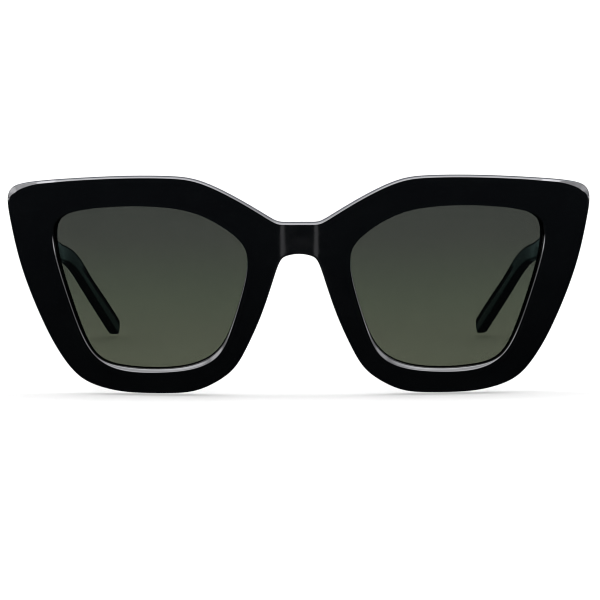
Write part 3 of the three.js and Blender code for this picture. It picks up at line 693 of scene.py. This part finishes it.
def build_front():
    o = front_frame()
    cuts = []
    pocket = lambda: box(PLATE_W + 2 * CLEAR, PLATE_T + CLEAR + 3, PLATE_H + 2 * CLEAR, -0.15, (3 - PLATE_T - CLEAR) / 2, 0, plate_frame)
    for make in [pocket] + [lambda h=h: pin_hole(plate_pin(h), 2.7) for h in PLATE_PINS]:
        a = make()
        b = mirror_copy(a, "tmp")
        cuts += [a, b]
    cut_all(o, cuts)
    return shade(o, 24)

place(build_front(), "front_frame_look", "front_frame", "front", FRONT_ACETATE)
pair(lens, "lens", "front", "front", LENS_MAT)
pair(nose_pad, "nose_pad", "front", "front", FRONT_ACETATE, 40)
pair(front_hinge, "front_hinge", "front", "front", HINGE_MAT, 28)
pair(screw, "hinge_screw", "front", "front", SCREW_MAT, 28)
for h, end in zip(PLATE_PINS, ("lower", "upper")):
    pair(lambda: pin(plate_pin(h), 2.7), "front_hinge_pin_" + end, "front", "front", SCREW_MAT, 28)
L, R = "left_temple_assembly", "right_temple_assembly"
pair(temple, "temple", L, R, TEMPLE_ACETATE, 28)
pair(temple_hinge, "temple_hinge", L, R, HINGE_MAT, 28)
pair(lambda: wire(0, WIRE_FROM, WIRE_TO, 0, 0.2), "core_wire", L, R, WIRE_MAT, 28)
for p, end in zip(LEAF_PINS, ("fore", "rear")):
    pair(lambda: pin(leaf_pin(p), 2.0), "temple_hinge_pin_" + end, L, R, SCREW_MAT, 28)

# ------------------------------------------------------------ floor, light, camera
def floor(z):
    o = mesh_object("floor", [(-9, -9, z), (9, -9, z), (9, 9, z), (-9, 9, z)], [(0, 1, 2, 3)])
    m, g, out = material("floor")
    co = object_coords(g)
    p = principled(g, Base_Color=g.mixc(g.noise(co, 4, 2), (0.45, 0.45, 0.45), (0.455, 0.455, 0.455)), Roughness=0.9)
    p.inputs["Specular IOR Level"].default_value = 0.0
    p.inputs["Emission Color"].default_value = (1, 1, 1, 1)
    p.inputs["Emission Strength"].default_value = 0.43
    g.put(out.inputs["Surface"], p.outputs[0])
    o.data.materials.append(m)
    o.visible_glossy = False
    o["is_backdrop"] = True

def studio():
    w = bpy.data.worlds.new("studio")
    bpy.context.scene.world = w
    w.use_nodes = True
    g = Graph(w.node_tree)
    out = g.node("ShaderNodeOutputWorld")
    d = g.node("ShaderNodeTexCoord").outputs["Generated"]
    sep = g.node("ShaderNodeSeparateXYZ")
    g.put(sep.inputs[0], d)
    dx, dy, dz = sep.outputs
    deg = 180 / math.pi
    # height above the front horizon, on over the top to the back horizon, in degrees
    t = g.math("MULTIPLY", g.math("ARCTAN2", dz, g.math("MULTIPLY", dy, -1)), deg)
    rise = g.math("MULTIPLY", g.math("ARCSINE", dz), deg)
    side = g.math("ABSOLUTE", dx)
    def between(x, a, b, c, e): return g.math("MULTIPLY", g.ramp(x, a, b), g.ramp(x, c, e, 1, 0))
    def times(*v):
        r = v[0]
        for q in v[1:]: r = g.math("MULTIPLY", r, q)
        return r
    def plus(*v):
        r = v[0]
        for q in v[1:]: r = g.math("ADD", r, q)
        return r
    # long softbox overhead with a dimmer seam, and soft boxes at both sides
    top = times(between(t, 52, 62, 129, 134), g.ramp(side, 0.5, 0.75, 1, 0),
                g.ramp(dx, 0.25, 0.5, 1, 0.62), g.ramp(dx, -0.5, -0.25, 0.85, 1),
                plus(g.ramp(t, 70, 96, 9.5, 12.5), times(between(t, 73, 75, 80, 82), -4.0), times(between(t, 88.5, 90, 97, 100), -6.0), g.ramp(t, 111, 117, 0, -6.9)))
    walls = times(g.ramp(side, 0.55, 0.75), g.ramp(dy, 0.2, 0.4, 1, 0),
                  plus(times(between(rise, -4, 6, 8.5, 12), 8.0), times(g.ramp(rise, 9, 12), 2.2),
                       times(between(rise, 17, 24, 40, 47), 5.0, g.ramp(dx, 0.5, 0.6, 1, 0.55)), times(g.ramp(rise, 40, 47), 1.5, g.ramp(dx, 0.5, 0.6, 1, 0.55))))
    # the pale room behind, over the floor and level with it
    over = times(g.ramp(dy, 0.25, 0.6), between(dz, 0.0, 0.06, 0.2, 0.5), 0.17)
    room = times(g.ramp(dy, 0.25, 0.6), g.ramp(side, 0.045, 0.065), between(dz, -0.4, -0.25, -0.082, -0.072),
                 g.ramp(side, 0.1, 0.4, 0.7, 1.0), g.ramp(dz, -0.101, -0.087, 0.8, 2.4))
    # two narrow slots beside the camera
    az = g.math("MULTIPLY", g.math("ARCTAN2", dx, g.math("MULTIPLY", dy, -1)), deg)
    off = g.math("ABSOLUTE", g.math("SUBTRACT", g.math("ABSOLUTE", g.math("SUBTRACT", az, 0.45)), g.ramp(t, -4.2, -1.8, 2.65, 2.95)))
    slots = times(g.ramp(g.math("DIVIDE", off, g.ramp(t, -4.2, -1.8, 2.05, 1.6)), 0.65, 1.05, 1, 0), between(t, -8.5, -7, 0.5, 2), 0.85)
    ahead = g.ramp(t, -13, 1, 0.03, 0.066, "LINEAR")
    def tone(v, c):
        n = g.node("ShaderNodeVectorMath", operation="SCALE")
        n.inputs[0].default_value = c
        g.put(n.inputs["Scale"], v)
        return n.outputs[0]
    total = tone(plus(top, walls, over, slots), (1.0, 1.0, 1.04))
    for v, c in ((room, (0.36, 0.54, 0.62)), (ahead, (0.85, 1.0, 1.25))):
        n = g.node("ShaderNodeVectorMath", operation="ADD")
        g.put(n.inputs[0], total)
        g.put(n.inputs[1], tone(v, c))
        total = n.outputs[0]
    # even room light for the floor, with a strip overhead that thins the shadow in front of the rims
    strip = plus(1.1, times(between(t, 90, 93, 102, 106), 5.0))
    even = tone(strip, (1, 1, 1))
    lp = g.node("ShaderNodeLightPath")
    bg = g.node("ShaderNodeBackground")
    g.put(bg.inputs["Color"], g.mixc(lp.outputs["Is Glossy Ray"], even, total))
    bg.inputs["Strength"].default_value = 1.0
    g.put(out.inputs["Surface"], bg.outputs[0])
    w.cycles.sampling_method = "NONE"

def camera():
    c = bpy.data.cameras.new("camera")
    o = bpy.data.objects.new("camera", c)
    bpy.context.scene.collection.objects.link(o)
    pitch = math.atan2(101, 1000)
    c.sensor_width, c.lens = 36, 4.007 * math.hypot(1000, 97) / 600 * 36
    c.clip_start, c.clip_end = 0.05, 60
    o.location = (-0.002619, -1.0 - CENTRE_Y * MM, 0.124513)
    turn = Euler((math.pi / 2 - pitch, 0, -math.atan2(2.874, 1004.7))).to_matrix()
    o.rotation_euler = (turn @ Matrix.Rotation(-0.00323, 3, "Z")).to_euler()
    bpy.context.scene.camera = o

floor(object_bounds()[0].z - 0.0006)
studio()
camera()
bpy.context.scene.view_settings.view_transform = "Standard"
bpy.context.scene.cycles.filter_width = 1.05
